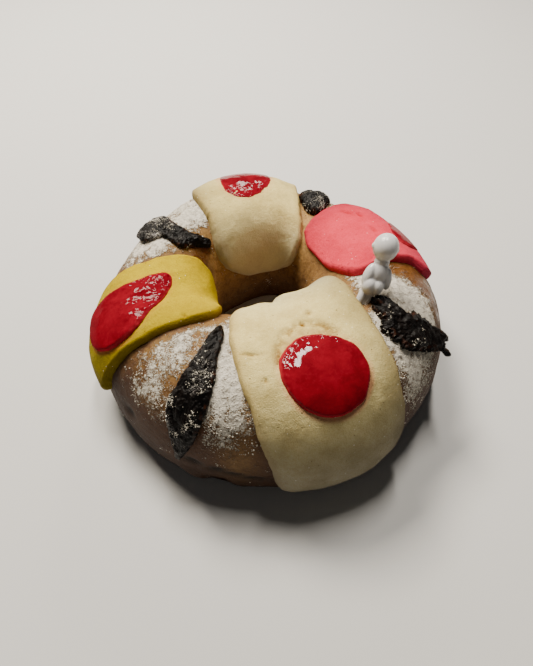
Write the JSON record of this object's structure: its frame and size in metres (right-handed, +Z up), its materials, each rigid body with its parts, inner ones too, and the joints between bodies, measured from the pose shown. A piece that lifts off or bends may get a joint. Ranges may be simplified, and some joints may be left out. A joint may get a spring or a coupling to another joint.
{
  "type": "roscon de reyes",
  "caption": "Small ring loaf of sweet dough with coloured sugar-paste bands, red jelly spots, strips of dark candied fig, sugar dusting and a white baby figurine.",
  "frame": {"origin": "middle of the loaf's flat base, close to the ring's vertical axis", "axes": "+Z up along the ring's axis; -Y towards the front cream band, +X towards the figurine's side"},
  "size_m": [0.13, 0.1371, 0.0607],
  "materials": {
    "crust": "baked golden to brown crust, lightly glazed, dusted with fine sugar",
    "cream_paste": "dry matt baked sugar paste",
    "yellow_paste": "dry matt baked sugar paste",
    "pink_paste": "dry matt baked sugar paste",
    "red_jelly": "wet glossy fruit jelly",
    "dark_fig": "leathery candied fruit with sugar crystals",
    "white_plastic": "smooth moulded plastic"
  },
  "bodies": {
    "root": {"loaf": "crust", "band_cream_front": "cream_paste", "band_yellow": "yellow_paste", "band_cream_back": "cream_paste", "band_pink": "pink_paste", "jelly_front": "red_jelly", "jelly_yellow": "red_jelly", "jelly_back": "red_jelly", "jelly_pink": "red_jelly", "fig_front": "dark_fig", "fig_right": "dark_fig", "fig_left": "dark_fig", "fig_back": "dark_fig", "doll": "white_plastic"}
  },
  "joints": []
}
